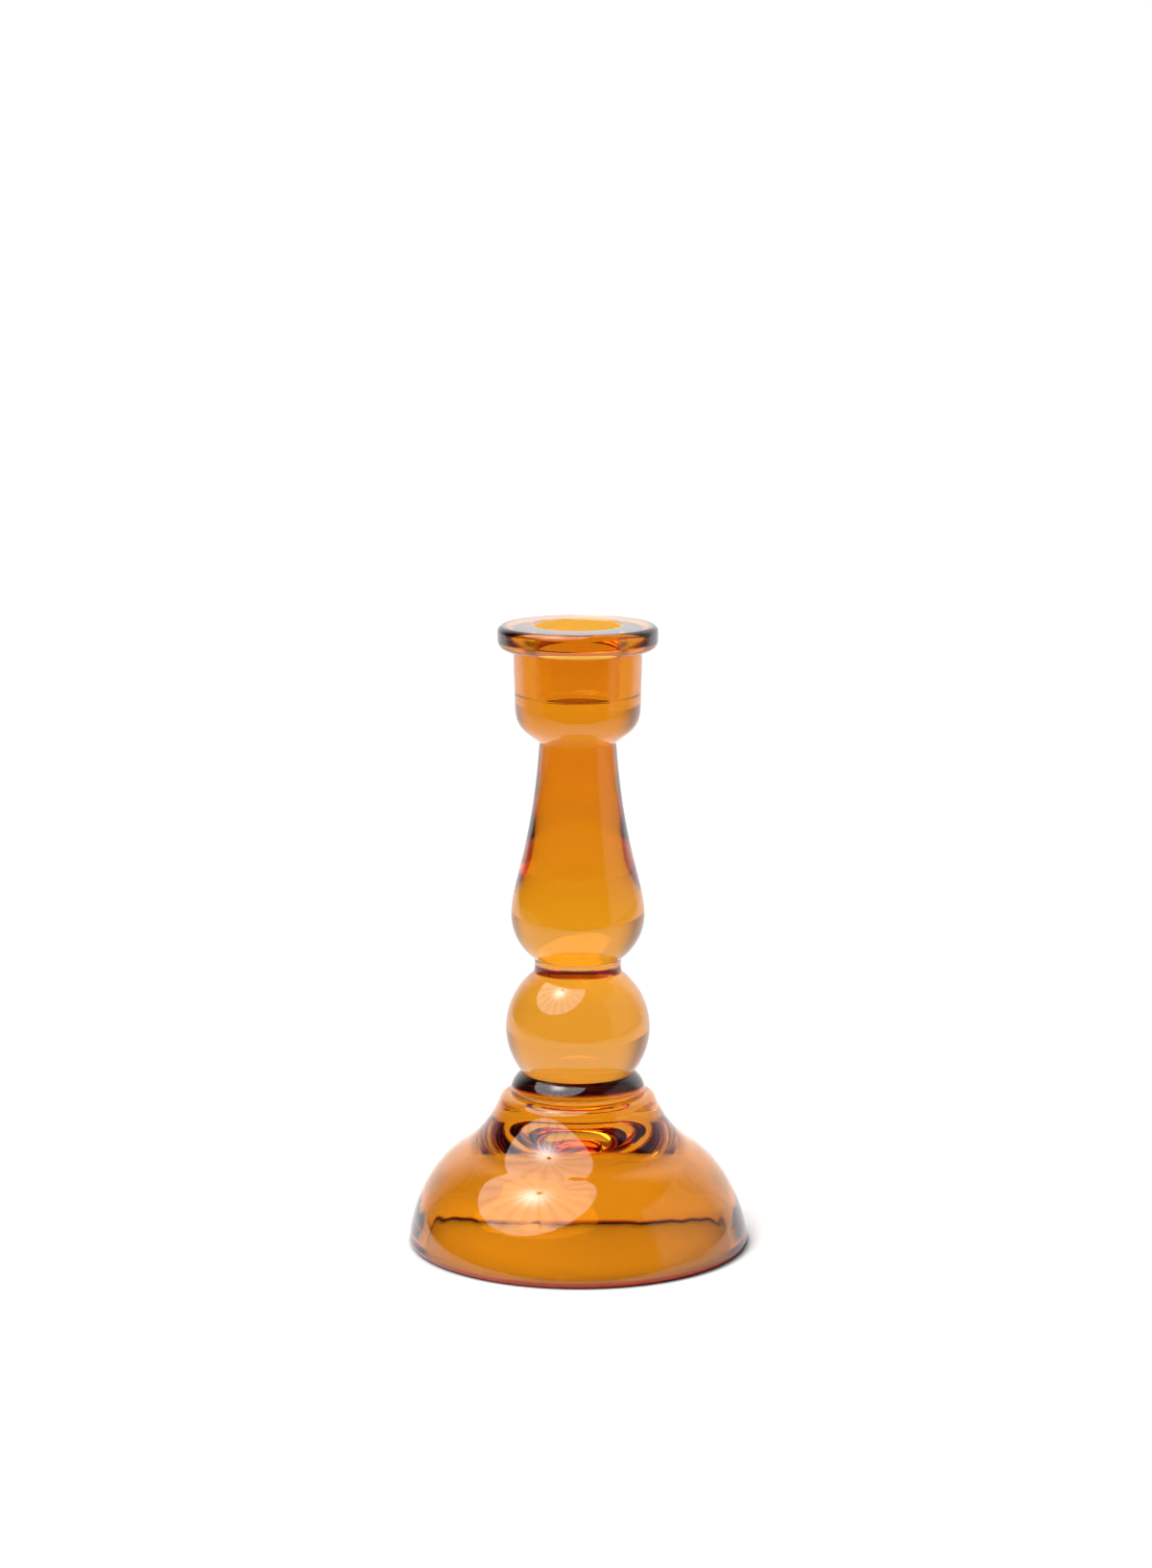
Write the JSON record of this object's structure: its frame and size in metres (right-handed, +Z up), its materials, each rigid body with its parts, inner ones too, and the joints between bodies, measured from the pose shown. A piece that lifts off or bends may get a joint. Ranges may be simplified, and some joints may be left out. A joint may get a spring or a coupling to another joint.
{
  "type": "glass candlestick",
  "caption": "Tall glass candlestick with a flanged socket cup, baluster stem, ball knop, collar and hollow domed foot, for one dinner candle.",
  "frame": {"origin": "centre of the foot's resting ring, on the table", "axes": "+Z up along the axis that every section is turned about, towards the candle; X and Y are any two level directions"},
  "size_m": [0.0926, 0.0926, 0.17],
  "materials": {
    "amber_glass": "clear glass with a glossy transparent amber coating"
  },
  "bodies": {
    "root": {"domed_foot": "amber_glass", "collar_bead": "amber_glass", "ball_knop": "amber_glass", "neck_ring": "amber_glass", "baluster_stem": "amber_glass", "candle_cup": "amber_glass", "drip_rim": "amber_glass"}
  },
  "joints": []
}
